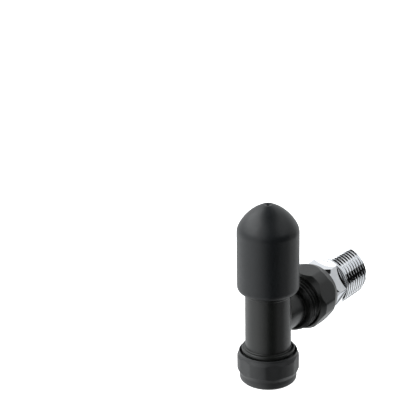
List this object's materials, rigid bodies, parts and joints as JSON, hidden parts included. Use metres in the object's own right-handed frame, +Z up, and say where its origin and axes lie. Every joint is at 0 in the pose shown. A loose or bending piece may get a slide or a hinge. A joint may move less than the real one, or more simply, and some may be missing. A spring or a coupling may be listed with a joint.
{
  "type": "lockshield radiator valve",
  "caption": "Angled radiator lockshield valve: compression inlet below, union nut and threaded tail at the side, domed push-on cap over a turning spindle.",
  "frame": {"origin": "centre of the pipe inlet, on the underside of the compression nut, which is the pipe_inlet mount", "axes": "+Z up the valve along the pipe, barrel and spindle; +X out along the radiator tail"},
  "size_m": [0.0701, 0.0252, 0.0739],
  "materials": {
    "black_coat": "satin black electrophoretic coat over brass, slightly grainy",
    "black_plastic": "matt charcoal moulded plastic with a fine grain",
    "chrome": "bright chrome plate",
    "brass": "machined brass",
    "steel": "spring steel",
    "rubber": "black EPDM rubber",
    "ptfe": "white PTFE packing",
    "nylon": "natural nylon"
  },
  "bodies": {
    "valve": {"valve_body": "black_coat", "headgear": "brass", "headgear_o_ring": "rubber", "gland_washer": "brass", "gland_packing": "ptfe", "gland_nut": "brass", "cap_grip_ring": "rubber"},
    "olive": {"olive": "brass"},
    "compression_nut": {"compression_nut": "black_coat"},
    "retaining_ring": {"tail_retaining_ring": "brass"},
    "union_nut": {"union_nut": "black_coat"},
    "tail": {"tailpiece": "chrome", "tail_o_ring": "rubber"},
    "jumper": {"jumper": "brass", "jumper_clip": "steel", "seat_washer": "rubber", "washer_screw": "brass"},
    "spindle": {"spindle": "brass", "spindle_o_ring": "rubber"},
    "cap_carrier": {"cap_carrier": "nylon"},
    "cap": {"lockshield_cap": "black_plastic"}
  },
  "joints": [
    {"name": "cap_pull", "type": "slide", "parent": "valve", "child": "cap_carrier", "axis": [0, 0, 1], "range_m": [0, 0.045]},
    {"name": "cap_spin", "type": "hinge", "parent": "cap_carrier", "child": "cap", "pos_m": [0, 0, 0.05], "axis": [0, 0, 1], "continuous": true},
    {"name": "spindle_lift", "type": "slide", "parent": "valve", "child": "jumper", "axis": [0, 0, 1], "range_m": [0, 0.00375]},
    {"name": "spindle_turn", "type": "hinge", "parent": "jumper", "child": "spindle", "pos_m": [0, 0, 0.05], "axis": [0, 0, 1], "range_deg": [0, 900.6]},
    {"name": "inlet_travel", "type": "slide", "parent": "valve", "child": "olive", "axis": [0, 0, 1], "range_m": [-0.00544, 0]},
    {"name": "compression_nut_turn", "type": "hinge", "parent": "olive", "child": "compression_nut", "pos_m": [0, 0, 0], "axis": [0, 0, 1], "range_deg": [-1080.6, 0]},
    {"name": "union_travel", "type": "slide", "parent": "valve", "child": "retaining_ring", "axis": [1, 0, 0], "range_m": [0, 0.00544]},
    {"name": "union_nut_turn", "type": "hinge", "parent": "retaining_ring", "child": "union_nut", "pos_m": [0.026, 0, 0.0255], "axis": [1, 0, 0], "range_deg": [0, 1080.6]},
    {"name": "tail_swivel", "type": "hinge", "parent": "retaining_ring", "child": "tail", "pos_m": [0.035, 0, 0.0255], "axis": [1, 0, 0], "continuous": true}
  ],
  "couplings": [
    {"joint": "spindle_turn", "follows": "spindle_lift", "rad_per_m": 4188.8},
    {"joint": "compression_nut_turn", "follows": "inlet_travel", "rad_per_m": 3463.7},
    {"joint": "union_nut_turn", "follows": "union_travel", "rad_per_m": 3463.7}
  ]
}
